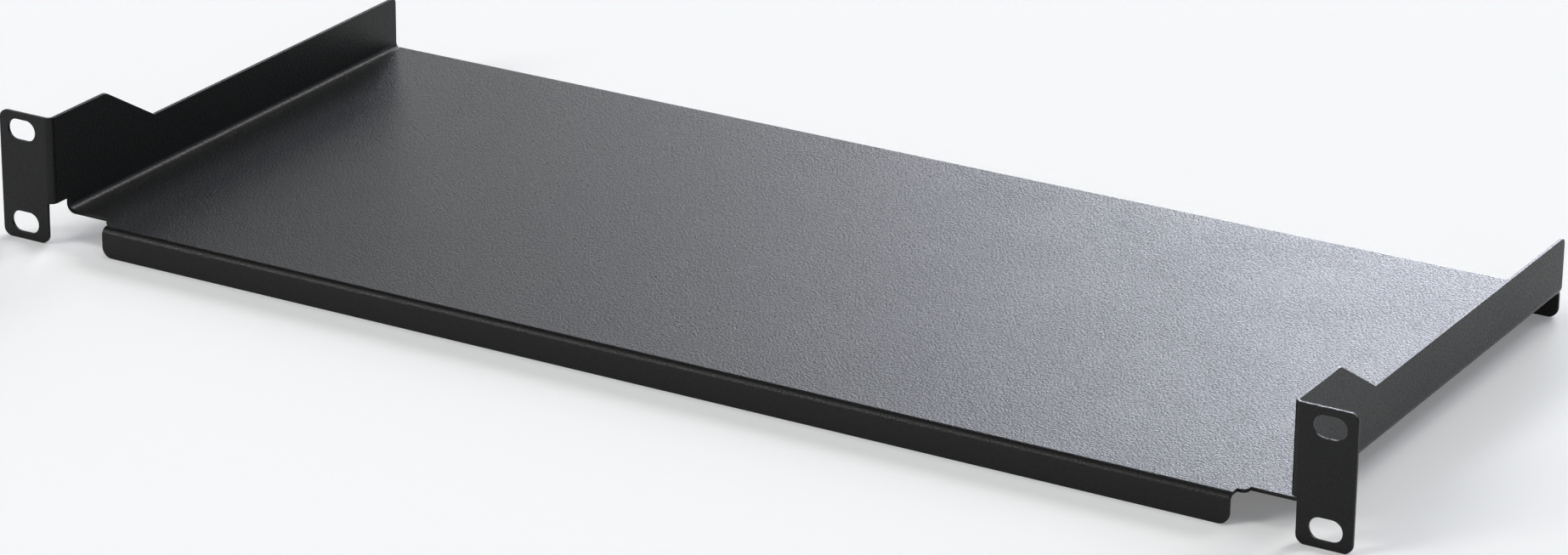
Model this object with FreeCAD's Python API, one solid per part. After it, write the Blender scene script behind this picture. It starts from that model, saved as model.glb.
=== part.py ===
import FreeCAD, Part
import math
import os

# A cantilever rack shelf, one rack unit high, folded from a single sheet of steel.
#
# Frame, in millimetres: +X across the rack to the right, +Y from the posts to the rear, +Z up.
# The origin is the centre of the four mounting slots, on the back faces of the two ears,
# which are the faces that seat on the rack's front posts.
#
# Flats (tray, side walls, ears, lips) are outlines thickened by the sheet, and each fold is
# a quarter of a ring between two flats. They share their edges, so they join into one solid.

NODE = "shelf"

# Rack standard: the outer size of the ears, and where the slots lie in them
PANEL_WIDTH = 482.6         # over the two ears
PANEL_HEIGHT = 43.66        # one rack unit less the gap between neighbours
SLOT_FROM_END = 8.75        # from a slot's centre out to the ear's end
SLOT_FROM_EDGE = 5.955      # from a slot's centre up or down to the ear's edge
SLOT_LENGTH = 10.8
SLOT_WIDTH = 7.1
EAR_CORNER_R = 3.0

# Sheet, and the inside radii of its folds
SHEET = 1.2
WALL_BEND = 2.0             # the two long folds between tray and walls
END_BEND = 1.3              # the folds of the ears and lips

# Tray and side walls
DEPTH = 200.0               # from the ears' front faces to the rear lip's outer face
EAR_REACH = 19.4            # from a wall's outer face to the ear's end
WALL_REAR_HEIGHT = 28.5     # from the lips' lower edges to the low rear part of a wall
WALL_REAR_R = 2.0
SLOPE_START = 30.0          # a wall is as high as the ears up to here, behind their front faces
SLOPE_END = 55.5            # and has come down to its rear height here
SLOPE_START_R = 4.0
SLOPE_END_R = 1.5

# Lips under the tray, one along the front edge and one along the rear edge
LIP_HEIGHT = 10.0           # from the tray's upper face to a lip's lower edge
LIP_CORNER_R = 3.5
FRONT_LIP_INSET = 20.0      # from a wall's outer face in to the front lip's end
FRONT_LIP_SETBACK = 0.4     # the lip's face stands this far behind the ears' front faces
REAR_LIP_INSET = 1.6        # from a wall's outer face in to the rear lip's end

# Clearance cut at each front corner, which keeps the folds of lip, wall and ear apart
NECK_LENGTH = 2.7           # flat left behind the front lip's fold, as wide as the lip
SHOULDER_STEP = 2.8         # from the neck back to the tray's front edge
SHOULDER_WIDTH = 3.0        # how far the shoulder reaches past the lip's end
SHOULDER_R = 2.0
CUT_RISE = 2.1              # from the wall's foot up to the lower end of the ear's fold

# Gap at each rear corner, from a wall's rear edge to the rear lip's fold
REAR_RELIEF = 0.4

# Worked out from the sizes above
WALL_BEND_OUTSIDE = WALL_BEND + SHEET
END_BEND_OUTSIDE = END_BEND + SHEET
TOP = PANEL_HEIGHT / 2
BOTTOM = -PANEL_HEIGHT / 2
FRONT = -SHEET                              # the ears' front faces
REAR = FRONT + DEPTH                        # the rear lip's outer face
EAR_END = PANEL_WIDTH / 2
SLOT_X = EAR_END - SLOT_FROM_END
SLOT_Z = TOP - SLOT_FROM_EDGE
WALL_OUTER = EAR_END - EAR_REACH
WALL_INNER = WALL_OUTER - SHEET
EAR_FOLD = WALL_INNER + END_BEND_OUTSIDE    # where an ear's flat ends and its fold begins
TRAY_FOLD = WALL_OUTER - WALL_BEND_OUTSIDE  # where the tray's flat ends and a wall's fold begins
TRAY_TOP = BOTTOM + LIP_HEIGHT
TRAY_UNDER = TRAY_TOP - SHEET
LIP_TOP = TRAY_TOP - END_BEND_OUTSIDE       # where a lip's flat begins below its fold
WALL_FOOT = TRAY_UNDER + WALL_BEND_OUTSIDE  # where a wall's flat begins above its fold
WALL_FRONT = FRONT + END_BEND_OUTSIDE
REAR_FOLD = REAR - END_BEND_OUTSIDE         # where the tray's flat ends and the rear lip's fold begins
WALL_REAR = REAR_FOLD - REAR_RELIEF
LIP_FACE = FRONT + FRONT_LIP_SETBACK
LIP_FOLD = LIP_FACE + END_BEND_OUTSIDE      # where the tray's flat ends and the front lip's fold begins
NECK_REAR = LIP_FOLD + NECK_LENGTH
TRAY_FRONT = NECK_REAR + SHOULDER_STEP      # the tray's front edge, beside the front lip
CUT_TOP = WALL_FOOT + CUT_RISE
FRONT_LIP_END = WALL_OUTER - FRONT_LIP_INSET
REAR_LIP_END = WALL_OUTER - REAR_LIP_INSET

AXIS_X = FreeCAD.Vector(1, 0, 0)
AXIS_Y = FreeCAD.Vector(0, 1, 0)
AXIS_Z = FreeCAD.Vector(0, 0, 1)


def on_xy(z):
    """Places an outline's two coordinates on the level plane at height z."""
    return lambda u, v: FreeCAD.Vector(u, v, z)


def on_xz(y):
    """Places an outline's two coordinates on the upright plane across the rack at y."""
    return lambda u, v: FreeCAD.Vector(u, y, v)


def on_yz(x):
    """Places an outline's two coordinates on the upright plane along the rack at x."""
    return lambda u, v: FreeCAD.Vector(x, u, v)


def rounded_corner(before, corner, after, radius):
    """Start, middle and end of the arc that rounds one corner of an outline."""
    to_before = (before - corner).normalize()
    to_after = (after - corner).normalize()
    half_angle = to_before.getAngle(to_after) / 2
    inwards = (to_before + to_after).normalize()
    centre = corner + inwards * (radius / math.sin(half_angle))
    reach = radius / math.tan(half_angle)
    return corner + to_before * reach, centre - inwards * radius, corner + to_after * reach


def outline(place, corners):
    """A flat face whose corners are (u, v) or, where the corner is rounded, (u, v, radius)."""
    points = [place(corner[0], corner[1]) for corner in corners]
    runs = []
    arcs = []
    for index, corner in enumerate(corners):
        point = points[index]
        if len(corner) == 2:
            runs.append((point, point))
            continue
        following = points[(index + 1) % len(points)]
        start, middle, end = rounded_corner(points[index - 1], point, following, corner[2])
        runs.append((start, end))
        arcs.append(Part.Arc(start, middle, end).toShape())
    lines = []
    for index, run in enumerate(runs):
        lines.append(Part.makeLine(runs[index - 1][1], run[0]))
    return Part.Face(Part.Wire(Part.__sortEdges__(lines + arcs)))


def fold(place, centre, inside, quarter, run):
    """A quarter of a ring, swept along run: the sheet turning from one flat into the next.

    inside is its inner radius, and quarter is the angle, in degrees, at which the ring's
    quarter starts in the plane of place.
    """
    def around(radius, degrees):
        angle = math.radians(degrees)
        return place(centre[0] + radius * math.cos(angle), centre[1] + radius * math.sin(angle))

    inner = [around(inside, quarter + turn) for turn in (0, 45, 90)]
    outer = [around(inside + SHEET, quarter + turn) for turn in (0, 45, 90)]
    edges = [
        Part.Arc(*inner).toShape(),
        Part.makeLine(inner[2], outer[2]),
        Part.Arc(outer[2], outer[1], outer[0]).toShape(),
        Part.makeLine(outer[0], inner[0]),
    ]
    return Part.Face(Part.Wire(edges)).extrude(run)


def mirrored(shape):
    """The same piece of sheet on the other side of the shelf."""
    return shape.mirror(FreeCAD.Vector(0, 0, 0), AXIS_X)


def tray():
    """The level floor, with a shoulder beside each end of the front lip."""
    shoulder = FRONT_LIP_END + SHOULDER_WIDTH
    right = [
        (FRONT_LIP_END, LIP_FOLD),
        (FRONT_LIP_END, NECK_REAR),
        (shoulder, NECK_REAR, SHOULDER_R),
        (shoulder, TRAY_FRONT),
        (TRAY_FOLD, TRAY_FRONT),
        (TRAY_FOLD, REAR_FOLD),
    ]
    left = [(-corner[0],) + corner[1:] for corner in reversed(right)]
    return outline(on_xy(TRAY_UNDER), right + left).extrude(AXIS_Z * SHEET)


def wall():
    """The right side wall: as high as the ear at the front, then down a slope to the rear."""
    low = BOTTOM + WALL_REAR_HEIGHT
    corners = [
        (WALL_FRONT, CUT_TOP),
        (TRAY_FRONT, CUT_TOP),
        (TRAY_FRONT, WALL_FOOT),
        (WALL_REAR, WALL_FOOT),
        (WALL_REAR, low, WALL_REAR_R),
        (FRONT + SLOPE_END, low, SLOPE_END_R),
        (FRONT + SLOPE_START, TOP, SLOPE_START_R),
        (WALL_FRONT, TOP),
    ]
    return outline(on_yz(WALL_INNER), corners).extrude(AXIS_X * SHEET)


def wall_fold():
    """The fold between the tray and the right wall."""
    centre = (TRAY_FOLD, WALL_FOOT)
    return fold(on_xz(TRAY_FRONT), centre, WALL_BEND, -90, AXIS_Y * (WALL_REAR - TRAY_FRONT))


def ear():
    """The right ear, with its corners rounded and its two mounting slots."""
    corners = [
        (EAR_FOLD, TOP),
        (EAR_END, TOP, EAR_CORNER_R),
        (EAR_END, BOTTOM, EAR_CORNER_R),
        (EAR_FOLD, BOTTOM, EAR_CORNER_R),
    ]
    plate = outline(on_xz(FRONT), corners).extrude(AXIS_Y * SHEET)
    return plate.cut([slot(SLOT_Z), slot(-SLOT_Z)])


def slot(height):
    """The cutter of one mounting slot, with round ends, through the right ear at that height."""
    radius = SLOT_WIDTH / 2
    reach = SLOT_LENGTH / 2 - radius
    left, right = SLOT_X - reach, SLOT_X + reach
    low, high = height - radius, height + radius
    place = on_xz(FRONT)
    edges = [
        Part.makeLine(place(left, low), place(right, low)),
        Part.Arc(place(right, low), place(right + radius, height), place(right, high)).toShape(),
        Part.makeLine(place(right, high), place(left, high)),
        Part.Arc(place(left, high), place(left - radius, height), place(left, low)).toShape(),
    ]
    return Part.Face(Part.Wire(edges)).extrude(AXIS_Y * SHEET)


def ear_fold():
    """The fold between the right wall and its ear, which ends above the clearance cut."""
    centre = (EAR_FOLD, WALL_FRONT)
    return fold(on_xy(CUT_TOP), centre, END_BEND, 180, AXIS_Z * (TOP - CUT_TOP))


def lip(half_width, face):
    """A lip's flat, hanging below its fold behind face, with the two lower corners rounded."""
    corners = [
        (-half_width, LIP_TOP),
        (half_width, LIP_TOP),
        (half_width, BOTTOM, LIP_CORNER_R),
        (-half_width, BOTTOM, LIP_CORNER_R),
    ]
    return outline(on_xz(face), corners).extrude(AXIS_Y * SHEET)


def front_lip():
    """The lip along the tray's front edge, between the two clearance cuts."""
    run = AXIS_X * (2 * FRONT_LIP_END)
    bend = fold(on_yz(-FRONT_LIP_END), (LIP_FOLD, LIP_TOP), END_BEND, 90, run)
    return [bend, lip(FRONT_LIP_END, LIP_FACE)]


def rear_lip():
    """The lip along the tray's rear edge, nearly as wide as the shelf."""
    run = AXIS_X * (2 * REAR_LIP_END)
    bend = fold(on_yz(-REAR_LIP_END), (REAR_FOLD, LIP_TOP), END_BEND, 0, run)
    return [bend, lip(REAR_LIP_END, REAR - SHEET)]


def shelf():
    """The whole folded sheet as one solid."""
    right_side = [wall_fold(), wall(), ear_fold(), ear()]
    left_side = [mirrored(piece) for piece in right_side]
    joined = tray().fuse(right_side + left_side + front_lip() + rear_lip())
    return joined.removeSplitter()


def main():
    shape = shelf()
    os.makedirs("parts", exist_ok=True)
    shape.exportStep("parts/" + NODE + ".step")
    solids = len(shape.Solids)
    print(NODE, "solids", solids, "valid", shape.isValid(), "volume mm3", round(shape.Volume, 1))


main()
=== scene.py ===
import math

import bmesh
import bpy
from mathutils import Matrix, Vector

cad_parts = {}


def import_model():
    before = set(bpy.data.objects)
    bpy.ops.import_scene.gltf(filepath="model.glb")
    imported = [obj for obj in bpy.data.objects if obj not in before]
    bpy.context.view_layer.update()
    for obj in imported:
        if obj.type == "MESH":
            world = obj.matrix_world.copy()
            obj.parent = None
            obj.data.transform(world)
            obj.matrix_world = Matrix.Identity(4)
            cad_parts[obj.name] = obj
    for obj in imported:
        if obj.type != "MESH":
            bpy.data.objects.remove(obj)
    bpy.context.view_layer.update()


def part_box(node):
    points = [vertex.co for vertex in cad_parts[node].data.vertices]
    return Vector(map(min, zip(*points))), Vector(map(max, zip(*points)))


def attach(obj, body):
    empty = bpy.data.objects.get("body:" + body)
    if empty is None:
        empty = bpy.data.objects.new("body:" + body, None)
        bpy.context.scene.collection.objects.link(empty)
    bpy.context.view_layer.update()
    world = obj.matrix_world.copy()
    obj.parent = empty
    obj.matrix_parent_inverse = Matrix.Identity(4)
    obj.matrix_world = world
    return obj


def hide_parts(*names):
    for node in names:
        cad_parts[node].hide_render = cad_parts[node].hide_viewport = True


# The looks of the cantilever rack shelf: one folded steel sheet with a black powder coat.
#
# The CAD solid has sharp edges and coarse folds, so a finer mesh of the same sheet stands for
# it: the sheet's middle surface, folded smoothly, then thickened, with its cut edges softened
# as the coat softens them. Everything is in metres, in the CAD's frame.

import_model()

MM = 0.001
QUARTER = math.pi / 2

# The sheet's sizes, as in the CAD
SHEET = 1.2 * MM
WALL_BEND = 2.0 * MM            # inside radius of the two long folds
END_BEND = 1.3 * MM             # inside radius of the folds of ears and lips
EAR_REACH = 19.4 * MM
EAR_CORNER_R = 3.0 * MM
SLOT_FROM_END = 8.75 * MM
SLOT_FROM_EDGE = 5.955 * MM
SLOT_LENGTH = 10.8 * MM
SLOT_WIDTH = 7.1 * MM
WALL_REAR_HEIGHT = 28.5 * MM
WALL_REAR_R = 2.0 * MM
SLOPE_START = 30.0 * MM
SLOPE_END = 55.5 * MM
SLOPE_START_R = 4.0 * MM
SLOPE_END_R = 1.5 * MM
LIP_HEIGHT = 10.0 * MM
LIP_CORNER_R = 3.5 * MM
FRONT_LIP_INSET = 20.0 * MM
FRONT_LIP_SETBACK = 0.4 * MM
REAR_LIP_INSET = 1.6 * MM
NECK_LENGTH = 2.7 * MM
SHOULDER_STEP = 2.8 * MM
SHOULDER_WIDTH = 3.0 * MM
SHOULDER_R = 2.0 * MM
CUT_RISE = 2.1 * MM
REAR_RELIEF = 0.4 * MM

# How finely the mesh follows them
FOLD_STEPS = 10                 # facets across a fold
ARC_STEP = math.radians(7.5)    # most that an outline's arc turns from point to point
EDGE_R = 0.19 * MM              # the softening of the cut edges
EDGE_STEPS = 3
EDGE_TURN = math.radians(50)    # an edge that turns less than this is no cut edge
JOIN = 0.001 * MM               # points this near are one point

# The powder coat's three noises, each by its cells to the metre and its detail, with the span
# of its values that counts from none to all
PEBBLES = (1500, 1.5)
PEBBLE_SPAN = (0.3, 0.7)
PATCHES = (30, 3.0)
PATCH_SPAN = (0.35, 0.65)
RUB_MARKS = (700, 4.0)
RUB_SPAN = (0.4, 0.6)

COAT_IOR = 1.33
COAT_DARK = (0.0045, 0.0044, 0.0044, 1)
COAT_LIGHT = (0.022, 0.022, 0.022, 1)
PEBBLE_HEIGHT = 0.11 * MM
PEBBLE_TONE = 0.3               # how far a pebble's top is from the dark colour to the light one
PEBBLE_ROUGHNESS = (0.48, 0.28)     # between the pebbles, and on their tops
PATCH_ROUGHNESS = (-0.012, 0.012)   # what the patches add to it
RUBBED_WIDTH = 0.5 * MM
RUBBED_TURN = (0.99, 0.85)      # cosines of the surface's turn where rubbing starts and is full
RUBBED_LEAST = 0.2              # what is left of the rubbing between its marks
RUBBED_TONE = 0.8
RUBBED_ROUGHNESS = -0.08
BEVEL_SAMPLES = 6

# The studio
FLOOR_REACH = 12.0
FLOOR_COLOUR = (0.9, 0.9, 0.9, 1)
FLOOR_ROUGHNESS = 0.9
FLOOR_GLOW = 0.17               # added only where the floor is seen or mirrored
BACKDROP = 0.95                 # how bright the low backdrop is
BACKDROP_TOP = math.radians(4)
ROOM = 0.03                     # how bright everything over the backdrop is
ROOM_START = math.radians(8)
LAMP_WIDTH = math.radians(20)   # across each lamp, as the shelf sees it
NEUTRAL = (1.0, 1.0, 0.97)
COOL = (0.86, 0.89, 1.0)
COLD = (0.7, 0.82, 1.0)

# Each lamp's azimuth and elevation in degrees, its radiance and its colour. The azimuth runs
# from straight behind the shelf towards its right, +X. The first three give the tray its sheen,
# back_middle the bright line along the left wall's fold, and front_left and left_top the one
# over the front lip. The others show the sides that those leave dark.
LAMPS = {
    "back_low": (-17, 10, 12.5, COOL),
    "back_high": (-16, 25, 7.5, COOL),
    "back_far_left": (-32, 10, 1.5, NEUTRAL),
    "back_middle": (14, 34, 10.0, NEUTRAL),
    "back_right": (35, 25, 2.6, COLD),
    "right": (105, 18, 0.6, COLD),
    "right_top": (95, 68, 2.0, COLD),
    "front_right": (145, 22, 2.2, COOL),
    "front_left": (-142, 28, 9.0, NEUTRAL),
    "left_top": (-125, 45, 4.0, NEUTRAL),
    "left": (-90, 18, 3.0, NEUTRAL),
    "overhead": (0, 82, 5.0, NEUTRAL),
}

CAMERA_PLACE = (0.81232, -1.30571, 0.62260)
CAMERA_TURN = (68.378, -0.533, 30.410)      # degrees about X, Y and Z
CAMERA_SENSOR = 36                          # wide, in millimetres
CAMERA_LENS = 125.1                         # millimetres
CAMERA_REACH = 100                          # metres, past the floor's far edge

# Places on the sheet's middle surface
low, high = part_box("shelf")
TOP, BOTTOM = high.z, low.z
EAR_END = high.x
EAR_Y = low.y + SHEET / 2
REAR_LIP_Y = high.y - SHEET / 2
FRONT_LIP_Y = EAR_Y + FRONT_LIP_SETBACK
WALL_X = EAR_END - EAR_REACH - SHEET / 2
TRAY_Z = BOTTOM + LIP_HEIGHT - SHEET / 2
WALL_FOLD_R = WALL_BEND + SHEET / 2
END_FOLD_R = END_BEND + SHEET / 2
TRAY_FOLD = WALL_X - WALL_FOLD_R
EAR_FOLD = WALL_X + END_FOLD_R
LIP_TOP = TRAY_Z - END_FOLD_R
WALL_FOOT = TRAY_Z + WALL_FOLD_R
WALL_FRONT = EAR_Y + END_FOLD_R
WALL_LOW_TOP = BOTTOM + WALL_REAR_HEIGHT
REAR_FOLD = REAR_LIP_Y - END_FOLD_R
WALL_REAR = REAR_FOLD - REAR_RELIEF
LIP_FOLD = FRONT_LIP_Y + END_FOLD_R
NECK_REAR = LIP_FOLD + NECK_LENGTH
TRAY_FRONT = NECK_REAR + SHOULDER_STEP
CUT_TOP = WALL_FOOT + CUT_RISE
FRONT_LIP_END = WALL_X + SHEET / 2 - FRONT_LIP_INSET
REAR_LIP_END = WALL_X + SHEET / 2 - REAR_LIP_INSET
SHOULDER_END = FRONT_LIP_END + SHOULDER_WIDTH
SLOT_X = EAR_END - SLOT_FROM_END
SLOT_Z = TOP - SLOT_FROM_EDGE

UP = Vector((0, 0, 1))
BACKWARDS = Vector((0, 1, 0))
INWARDS = Vector((-1, 0, 0))    # on the right half, which is drawn and then mirrored


def on_xy(z):
    """Places two coordinates on the level plane at height z."""
    return lambda u, v: Vector((u, v, z))


def on_xz(y):
    """Places two coordinates on the upright plane across the rack at y."""
    return lambda u, v: Vector((u, y, v))


def on_yz(x):
    """Places two coordinates on the upright plane along the rack at x."""
    return lambda u, v: Vector((x, u, v))


def arc(centre, radius, start, turn):
    """Points along an arc of the plane, with both its ends."""
    steps = max(2, math.ceil(abs(turn) / ARC_STEP))
    angles = [start + turn * step / steps for step in range(steps + 1)]
    return [centre + radius * Vector((math.cos(a), math.sin(a))) for a in angles]


def rounded(corners):
    """The points of an outline whose corners are (u, v) or, where rounded, (u, v, radius)."""
    points = []
    for index, corner in enumerate(corners):
        point = Vector(corner[:2])
        if len(corner) == 2:
            points.append(point)
            continue
        radius = corner[2]
        before = (Vector(corners[index - 1][:2]) - point).normalized()
        after = (Vector(corners[(index + 1) % len(corners)][:2]) - point).normalized()
        half = before.angle(after) / 2
        centre = point + (before + after).normalized() * (radius / math.sin(half))
        first = point + before * (radius / math.tan(half)) - centre
        last = point + after * (radius / math.tan(half)) - centre
        turn = math.atan2(first.cross(last), first.dot(last))
        points += arc(centre, radius, math.atan2(first.y, first.x), turn)
    return points


def slot_ends(height):
    """The centres of a mounting slot's left and right round ends, on the right ear."""
    reach = (SLOT_LENGTH - SLOT_WIDTH) / 2
    return Vector((SLOT_X - reach, height)), Vector((SLOT_X + reach, height))


def over_slot(height):
    """The points over the top of one slot, from right to left."""
    left, right = slot_ends(height)
    radius = SLOT_WIDTH / 2
    return arc(right, radius, 0, QUARTER) + arc(left, radius, QUARTER, QUARTER)


def under_slot(height):
    """The points under one slot, from left to right."""
    left, right = slot_ends(height)
    radius = SLOT_WIDTH / 2
    return arc(left, radius, 2 * QUARTER, QUARTER) + arc(right, radius, 3 * QUARTER, QUARTER)


def area_normal(points):
    """The direction of a flat outline, by its area."""
    total = Vector((0, 0, 0))
    for a, b in zip(points, points[1:] + points[:1]):
        total += (a - points[0]).cross(b - points[0])
    return total.normalized()


class MiddleSurface:
    """The sheet's middle surface: points with the sheet's direction at each, and faces."""

    def __init__(self):
        self.points = []
        self.directions = []
        self.faces = []
        self.found = {}

    def point(self, place, direction):
        """The number of the point at place, which neighbouring faces share."""
        key = tuple(round(value / JOIN) for value in place)
        if key not in self.found:
            self.found[key] = len(self.points)
            self.points.append(place)
            self.directions.append(direction)
        return self.found[key]

    def face(self, corners):
        """A face, with its corners in the order that points its normal the sheet's way."""
        if area_normal([self.points[c] for c in corners]).dot(self.directions[corners[0]]) < 0:
            corners = corners[::-1]
        self.faces.append(corners)

    def flat(self, place, direction, outline):
        """A flat part of the sheet. It has a point wherever a neighbour's side has one."""
        self.face([self.point(place(u, v), direction) for u, v in rounded(outline)])

    def fold(self, place, centre, radius, start, stations, outwards):
        """A quarter turn, which place(u, v, run) carries through the stations.

        outwards is 1 where the sheet's direction points away from the fold's centre, else -1.
        """
        rows = []
        for step in range(FOLD_STEPS + 1):
            angle = start + QUARTER * step / FOLD_STEPS
            u, v = math.cos(angle), math.sin(angle)
            direction = place(u, v, 0) * outwards
            rows.append([
                self.point(place(centre[0] + radius * u, centre[1] + radius * v, run), direction)
                for run in stations
            ])
        for row, following in zip(rows, rows[1:]):
            for a, b, c, d in zip(row, row[1:], following[1:], following):
                self.face([a, b, c, d])

    def add_mirrored(self):
        """The other half of the shelf, across X."""
        flip = Vector((-1, 1, 1))
        half = range(len(self.points))
        twin = [self.point(self.points[i] * flip, self.directions[i] * flip) for i in half]
        for corners in self.faces[:]:
            self.face([twin[c] for c in corners])

    def thickened(self):
        """The points and faces of the closed sheet, half its thickness to either side."""
        reach = SHEET / 2
        over = [p + d * reach for p, d in zip(self.points, self.directions)]
        under = [p - d * reach for p, d in zip(self.points, self.directions)]
        count = len(self.points)
        faces = list(self.faces)
        faces += [[c + count for c in corners[::-1]] for corners in self.faces]
        sides = {side for corners in self.faces for side in zip(corners, corners[1:] + corners[:1])}
        faces += [[b, a, a + count, b + count] for a, b in sides if (b, a) not in sides]
        return over + under, faces


def add_tray(surface):
    """Half the tray, which narrows through a shoulder to the neck that carries the front lip."""
    surface.flat(on_xy(TRAY_Z), UP, [
        (0, LIP_FOLD),
        (FRONT_LIP_END, LIP_FOLD),
        (FRONT_LIP_END, NECK_REAR),
        (SHOULDER_END, NECK_REAR, SHOULDER_R),
        (SHOULDER_END, TRAY_FRONT),
        (TRAY_FOLD, TRAY_FRONT),
        (TRAY_FOLD, WALL_REAR),
        (TRAY_FOLD, REAR_FOLD),
        (0, REAR_FOLD),
    ])


def add_wall(surface):
    """The right wall, low at the rear and as high as the ear at the front."""
    ear_front = EAR_Y - SHEET / 2
    surface.flat(on_yz(WALL_X), INWARDS, [
        (WALL_FRONT, CUT_TOP),
        (TRAY_FRONT, CUT_TOP),
        (TRAY_FRONT, WALL_FOOT),
        (WALL_REAR, WALL_FOOT),
        (WALL_REAR, WALL_LOW_TOP, WALL_REAR_R),
        (ear_front + SLOPE_END, WALL_LOW_TOP, SLOPE_END_R),
        (ear_front + SLOPE_START, TOP, SLOPE_START_R),
        (WALL_FRONT, TOP),
        (WALL_FRONT, SLOT_Z),
    ])


def add_ear(surface):
    """The right ear in three parts, which meet on the middle lines of its two slots."""
    place = on_xz(EAR_Y)
    surface.flat(place, -BACKWARDS, [
        (EAR_FOLD, SLOT_Z),
        (EAR_FOLD, TOP),
        (EAR_END, TOP, EAR_CORNER_R),
        (EAR_END, SLOT_Z),
        *over_slot(SLOT_Z),
    ])
    surface.flat(place, -BACKWARDS, [
        (EAR_END, SLOT_Z),
        (EAR_END, -SLOT_Z),
        *over_slot(-SLOT_Z),
        (EAR_FOLD, -SLOT_Z),
        (EAR_FOLD, CUT_TOP),
        (EAR_FOLD, SLOT_Z),
        *under_slot(SLOT_Z),
    ])
    surface.flat(place, -BACKWARDS, [
        (EAR_END, -SLOT_Z),
        (EAR_END, BOTTOM, EAR_CORNER_R),
        (EAR_FOLD, BOTTOM, EAR_CORNER_R),
        (EAR_FOLD, -SLOT_Z),
        *under_slot(-SLOT_Z),
    ])


def add_lips(surface):
    """Half the front lip and half the rear one."""
    surface.flat(on_xz(FRONT_LIP_Y), -BACKWARDS, [
        (0, LIP_TOP),
        (0, BOTTOM),
        (FRONT_LIP_END, BOTTOM, LIP_CORNER_R),
        (FRONT_LIP_END, LIP_TOP),
    ])
    surface.flat(on_xz(REAR_LIP_Y), BACKWARDS, [
        (0, LIP_TOP),
        (0, BOTTOM),
        (REAR_LIP_END, BOTTOM, LIP_CORNER_R),
        (REAR_LIP_END, LIP_TOP),
        (TRAY_FOLD, LIP_TOP),
    ])


def add_folds(surface):
    """The folds between the flats: at the wall's foot, the ear, and the front and rear lips."""

    def across(u, v, run):
        return Vector((u, run, v))

    def along(u, v, run):
        return Vector((run, u, v))

    def upright(u, v, run):
        return Vector((u, v, run))

    wall = [TRAY_FRONT, WALL_REAR]
    ear = [CUT_TOP, SLOT_Z, TOP]
    front = [0, FRONT_LIP_END]
    rear = [0, TRAY_FOLD, REAR_LIP_END]
    surface.fold(across, (TRAY_FOLD, WALL_FOOT), WALL_FOLD_R, -QUARTER, wall, -1)
    surface.fold(upright, (EAR_FOLD, WALL_FRONT), END_FOLD_R, 2 * QUARTER, ear, 1)
    surface.fold(along, (LIP_FOLD, LIP_TOP), END_FOLD_R, QUARTER, front, 1)
    surface.fold(along, (REAR_FOLD, LIP_TOP), END_FOLD_R, 0, rear, 1)


def folded_sheet():
    """The whole shelf as one closed mesh, with its cut edges softened."""
    surface = MiddleSurface()
    add_tray(surface)
    add_wall(surface)
    add_ear(surface)
    add_lips(surface)
    add_folds(surface)
    surface.add_mirrored()
    points, faces = surface.thickened()
    data = bpy.data.meshes.new("folded_sheet")
    data.from_pydata(points, [], faces)
    for face in data.polygons:
        face.use_smooth = True
    piece = bpy.data.objects.new("folded_sheet", data)
    bpy.context.scene.collection.objects.link(piece)
    bevel = piece.modifiers.new("softened_edges", "BEVEL")
    bevel.width = EDGE_R
    bevel.segments = EDGE_STEPS
    bevel.limit_method = "ANGLE"
    bevel.angle_limit = EDGE_TURN
    bevel.use_clamp_overlap = False
    normals = piece.modifiers.new("flat_faces_stay_flat", "WEIGHTED_NORMAL")
    normals.weight = 100
    return piece


class Nodes:
    """A node tree, with the few kinds of node that the materials and the world are made of."""

    def __init__(self, tree):
        self.nodes = tree.nodes
        self.links = tree.links

    def new(self, kind):
        """A new shader node, by Blender's name for its kind without ShaderNode."""
        return self.nodes.new("ShaderNode" + kind)

    def noise(self, place, scale, detail):
        """A noise over the place."""
        texture = self.new("TexNoise")
        texture.inputs["Scale"].default_value = scale
        texture.inputs["Detail"].default_value = detail
        self.links.new(place, texture.inputs["Vector"])
        return texture.outputs["Fac"]

    def scaled(self, value, span, onto, interpolation="LINEAR"):
        """The value, with the two ends of its span brought onto two others, and kept between."""
        node = self.new("MapRange")
        node.interpolation_type = interpolation
        names = ("From Min", "From Max", "To Min", "To Max")
        for name, setting in zip(names, (*span, *onto)):
            node.inputs[name].default_value = setting
        self.links.new(value, node.inputs["Value"])
        return node.outputs["Result"]

    def combined(self, operation, one, other):
        """Two values by one operation of Blender's Math node."""
        node = self.new("Math")
        node.operation = operation
        self.links.new(one, node.inputs[0])
        self.links.new(other, node.inputs[1])
        return node.outputs["Value"]


def new_material(name):
    """A material, its nodes and its shader."""
    material = bpy.data.materials.new(name)
    material.use_nodes = True
    tree = Nodes(material.node_tree)
    return material, tree, tree.nodes["Principled BSDF"]


def near_edge(tree):
    """0 on the flats and up to 1 at an edge, where a rounder copy of the surface turns away."""
    rounder = tree.new("Bevel")
    rounder.samples = BEVEL_SAMPLES
    rounder.inputs["Radius"].default_value = RUBBED_WIDTH
    agreement = tree.new("VectorMath")
    agreement.operation = "DOT_PRODUCT"
    tree.links.new(rounder.outputs["Normal"], agreement.inputs[0])
    tree.links.new(tree.new("NewGeometry").outputs["Normal"], agreement.inputs[1])
    return tree.scaled(agreement.outputs["Value"], RUBBED_TURN, (0, 1))


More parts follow.
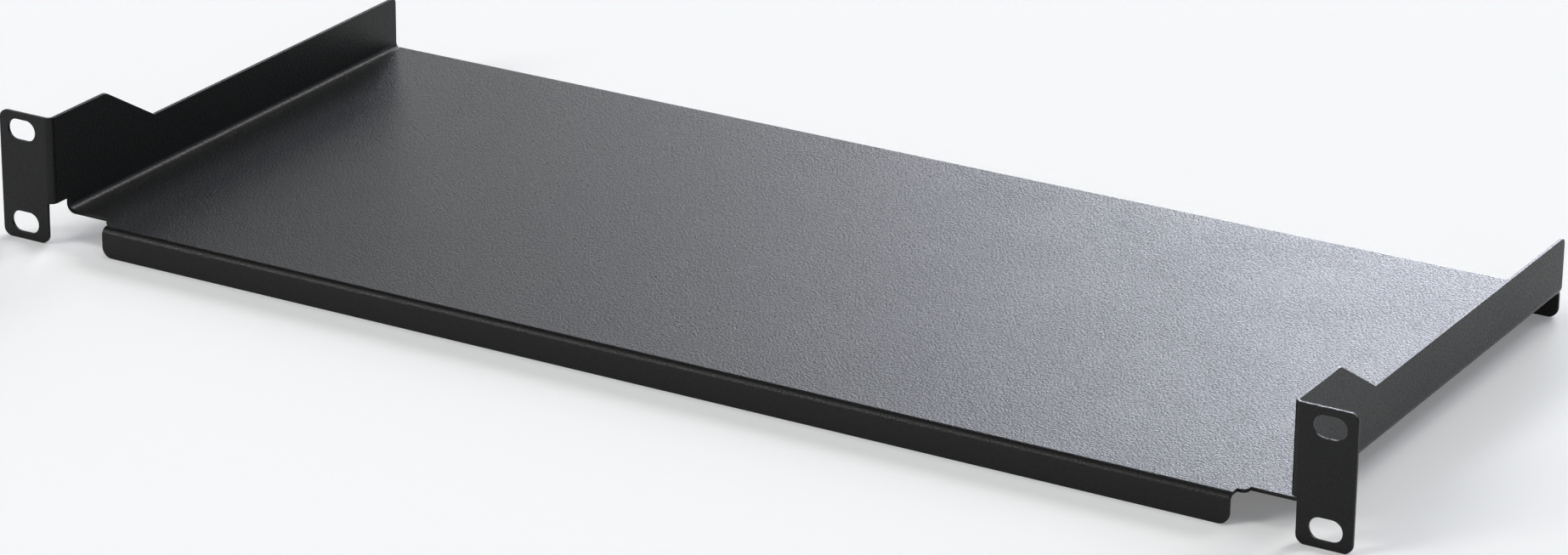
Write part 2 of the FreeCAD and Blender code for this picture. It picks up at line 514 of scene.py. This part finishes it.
def powder_coat():
    """Black powder coat: fine pebbles, a little uneven, and rubbed along the cut edges."""
    material, tree, shader = new_material("powder_coat_black")
    shader.inputs["IOR"].default_value = COAT_IOR
    place = tree.new("TexCoord").outputs["Object"]
    pebbles = tree.noise(place, *PEBBLES)
    patches = tree.noise(place, *PATCHES)
    marks = tree.scaled(tree.noise(place, *RUB_MARKS), RUB_SPAN, (RUBBED_LEAST, 1))
    rubbed = tree.combined("MULTIPLY", near_edge(tree), marks)

    colour = tree.new("ValToRGB")
    colour.color_ramp.elements[0].color = COAT_DARK
    colour.color_ramp.elements[1].color = COAT_LIGHT
    pebble_tone = tree.scaled(pebbles, PEBBLE_SPAN, (0, PEBBLE_TONE))
    rubbed_tone = tree.scaled(rubbed, (0, 1), (0, RUBBED_TONE))
    tree.links.new(tree.combined("ADD", pebble_tone, rubbed_tone), colour.inputs["Fac"])
    tree.links.new(colour.outputs["Color"], shader.inputs["Base Color"])

    roughness = tree.scaled(pebbles, PEBBLE_SPAN, PEBBLE_ROUGHNESS)
    uneven = tree.scaled(patches, PATCH_SPAN, PATCH_ROUGHNESS)
    roughness = tree.combined("ADD", roughness, uneven)
    smoothed = tree.scaled(rubbed, (0, 1), (0, RUBBED_ROUGHNESS))
    roughness = tree.combined("ADD", roughness, smoothed)
    tree.links.new(roughness, shader.inputs["Roughness"])

    bump = tree.new("Bump")
    bump.inputs["Distance"].default_value = PEBBLE_HEIGHT
    tree.links.new(pebbles, bump.inputs["Height"])
    tree.links.new(bump.outputs["Normal"], shader.inputs["Normal"])
    return material


def floor_paint():
    """Matt pale paint that glows a little, only for the rays that see it as a background."""
    material, tree, shader = new_material("floor_pale")
    shader.inputs["Base Color"].default_value = FLOOR_COLOUR
    shader.inputs["Roughness"].default_value = FLOOR_ROUGHNESS
    shader.inputs["Specular IOR Level"].default_value = 0
    shader.inputs["Emission Color"].default_value = (1, 1, 1, 1)
    rays = tree.new("LightPath").outputs
    seen = tree.combined("MAXIMUM", rays["Is Camera Ray"], rays["Is Glossy Ray"])
    seen = tree.combined("MAXIMUM", seen, rays["Is Transmission Ray"])
    tree.links.new(tree.scaled(seen, (0, 1), (0, FLOOR_GLOW)), shader.inputs["Emission Strength"])
    return material


def floor():
    """A plain pale floor that shows near white and keeps the shelf's shadow."""
    mesh = bmesh.new()
    bmesh.ops.create_grid(mesh, x_segments=1, y_segments=1, size=FLOOR_REACH)
    data = bpy.data.meshes.new("floor")
    mesh.to_mesh(data)
    mesh.free()
    data.materials.append(floor_paint())
    piece = bpy.data.objects.new("floor", data)
    piece.location.z = BOTTOM
    bpy.context.scene.collection.objects.link(piece)


def world():
    """Dim surroundings, with a low pale backdrop all round that meets the floor."""
    surroundings = bpy.data.worlds.new("studio")
    surroundings.use_nodes = True
    bpy.context.scene.world = surroundings
    tree = Nodes(surroundings.node_tree)
    background = tree.nodes["Background"]
    background.inputs["Color"].default_value = (1, 1, 1, 1)
    direction = tree.new("SeparateXYZ")
    tree.links.new(tree.new("TexCoord").outputs["Generated"], direction.inputs[0])
    heights = (math.sin(BACKDROP_TOP), math.sin(ROOM_START))
    level = tree.scaled(direction.outputs["Z"], heights, (BACKDROP, ROOM), "SMOOTHSTEP")
    tree.links.new(level, background.inputs["Strength"])


def softbox(name, azimuth, elevation, radiance, colour):
    """A far round lamp of that radiance."""
    across, up = math.radians(azimuth), math.radians(elevation)
    towards = Vector((math.sin(across), math.cos(across), math.tan(up)))
    lamp = bpy.data.lights.new(name, "SUN")
    lamp.angle = LAMP_WIDTH
    lamp.color = colour
    lamp.energy = radiance * math.tau * (1 - math.cos(lamp.angle / 2))
    piece = bpy.data.objects.new(name, lamp)
    piece.location = towards
    piece.rotation_euler = towards.to_track_quat("Z", "Y").to_euler()
    bpy.context.scene.collection.objects.link(piece)


def camera():
    """From the right of the front and above, with a long lens."""
    data = bpy.data.cameras.new("camera")
    data.sensor_width = CAMERA_SENSOR
    data.lens = CAMERA_LENS
    data.clip_end = CAMERA_REACH
    piece = bpy.data.objects.new("camera", data)
    piece.location = CAMERA_PLACE
    piece.rotation_euler = [math.radians(angle) for angle in CAMERA_TURN]
    bpy.context.scene.collection.objects.link(piece)
    bpy.context.scene.camera = piece


sheet = folded_sheet()
sheet.data.materials.append(powder_coat())
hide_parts("shelf")
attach(sheet, "root")

floor()
world()
for name, settings in LAMPS.items():
    softbox(name, *settings)
camera()

bpy.context.scene.view_settings.view_transform = "Standard"
